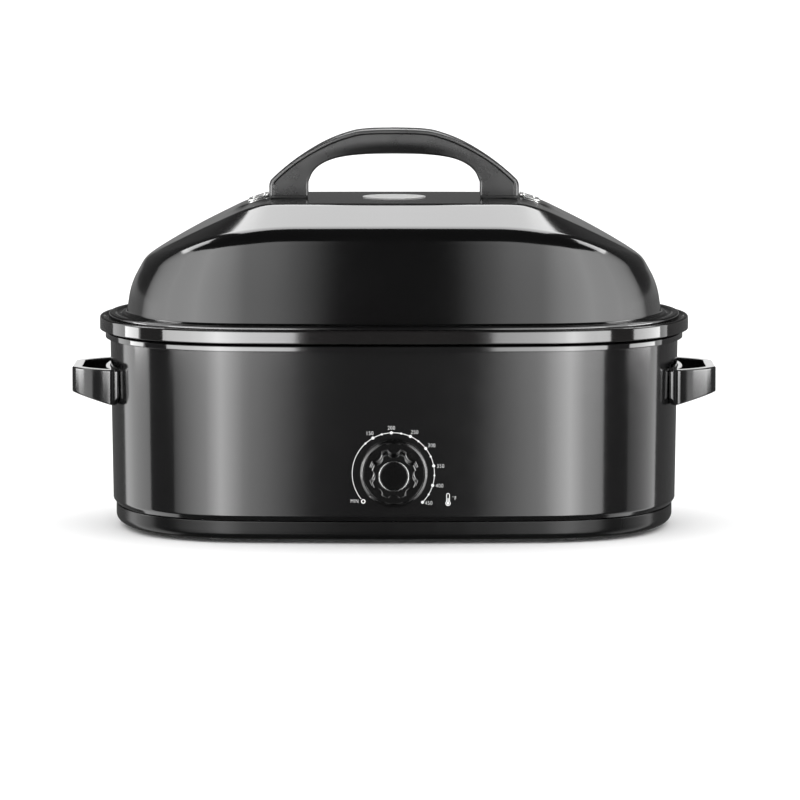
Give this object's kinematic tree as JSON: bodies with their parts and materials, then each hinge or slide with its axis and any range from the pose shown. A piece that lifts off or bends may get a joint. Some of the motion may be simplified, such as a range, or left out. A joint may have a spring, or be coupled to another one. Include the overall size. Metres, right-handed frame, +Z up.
{
  "type": "electric roaster oven",
  "caption": "Oval electric roaster oven with a domed lift-off lid, removable pan, wire rack with lifting loops, side handles and a turning temperature dial.",
  "frame": {"origin": "centre of the whole object's box, on the surface that the feet stand on", "axes": "+Z up, +X along the oval to the right of someone facing the dial, -Y out of the dial"},
  "size_m": [0.571, 0.3922, 0.353],
  "materials": {
    "casing_enamel": "gloss black enamel over steel",
    "rim_enamel": "gloss black enamel, rolled rim",
    "lid_enamel": "gloss black enamel over steel",
    "pan_enamel": "speckled gloss black enamel",
    "base_black": "gloss black",
    "handle_gloss": "gloss black moulded phenolic",
    "handle_satin": "semi-gloss black moulded phenolic",
    "knob_gloss": "gloss black moulded plastic",
    "knob_cap_black": "black disc with a bright ring",
    "rack_chrome": "plated steel wire",
    "inner_steel": "aluminised sheet",
    "zinc_steel": "zinc-plated sheet and screws",
    "heater_mica": "mica and resistance band",
    "blanket_fibre": "glass-fibre blanket",
    "lead_sheath": "heat-proof black sheath",
    "gland_black": "matte black nylon",
    "foot_rubber": "matte black rubber",
    "gasket_black": "matte black insulator",
    "badge_steel": "satin bright disc, bare",
    "vent_steel": "bright perforated plate",
    "control_case": "ceramic and plated steel"
  },
  "bodies": {
    "housing": {"outer_shell": "casing_enamel", "top_collar": "rim_enamel", "heat_well": "inner_steel", "heater_band": "heater_mica", "heater_terminals": "zinc_steel", "insulation_blanket": "blanket_fibre", "heat_reflector": "inner_steel", "base_tray": "base_black", "bottom_plate": "zinc_steel", "rubber_feet": "foot_rubber", "base_screws": "zinc_steel", "base_posts": "zinc_steel", "thermostat": "control_case", "thermostat_bracket": "zinc_steel", "thermostat_screws": "zinc_steel", "thermostat_probe": "zinc_steel", "inner_lead": "lead_sheath", "cord_gland": "gland_black", "side_handle_left": "handle_gloss", "side_handle_right": "handle_gloss", "side_handle_screws": "zinc_steel"},
    "pan": {"pan": "pan_enamel"},
    "rack": {"rack_frame": "rack_chrome"},
    "loop_left": {"rack_loop_left": "rack_chrome"},
    "loop_right": {"rack_loop_right": "rack_chrome"},
    "lid": {"lid_shell": "lid_enamel", "lid_handle": "handle_satin", "lid_handle_gaskets": "gasket_black", "lid_handle_screws": "zinc_steel", "lid_washers": "zinc_steel", "lid_vents": "vent_steel", "lid_badge_plate": "badge_steel"},
    "dial": {"knob": "knob_gloss", "knob_cap": "knob_cap_black", "thermostat_shaft": "zinc_steel"}
  },
  "joints": [
    {"name": "pan_lift", "type": "slide", "parent": "housing", "child": "pan", "axis": [0, 0, 1], "range_m": [0, 0.155]},
    {"name": "rack_lift", "type": "slide", "parent": "pan", "child": "rack", "axis": [0, 0, 1], "range_m": [0, 0.145]},
    {"name": "lid_lift", "type": "slide", "parent": "rack", "child": "lid", "axis": [0, 0, 1], "range_m": [0, 0.11]},
    {"name": "loop_left_fold", "type": "hinge", "parent": "rack", "child": "loop_left", "pos_m": [-0.1715, 0.00808, 0.055], "axis": [0, 1, 0], "range_deg": [0, 108]},
    {"name": "loop_right_fold", "type": "hinge", "parent": "rack", "child": "loop_right", "pos_m": [0.1715, 0.00808, 0.055], "axis": [0, -1, 0], "range_deg": [0, 108]},
    {"name": "dial_turn", "type": "hinge", "parent": "housing", "child": "dial", "pos_m": [0, -0.16792, 0.0628], "axis": [0, 1, 0], "range_deg": [0, 268]}
  ]
}
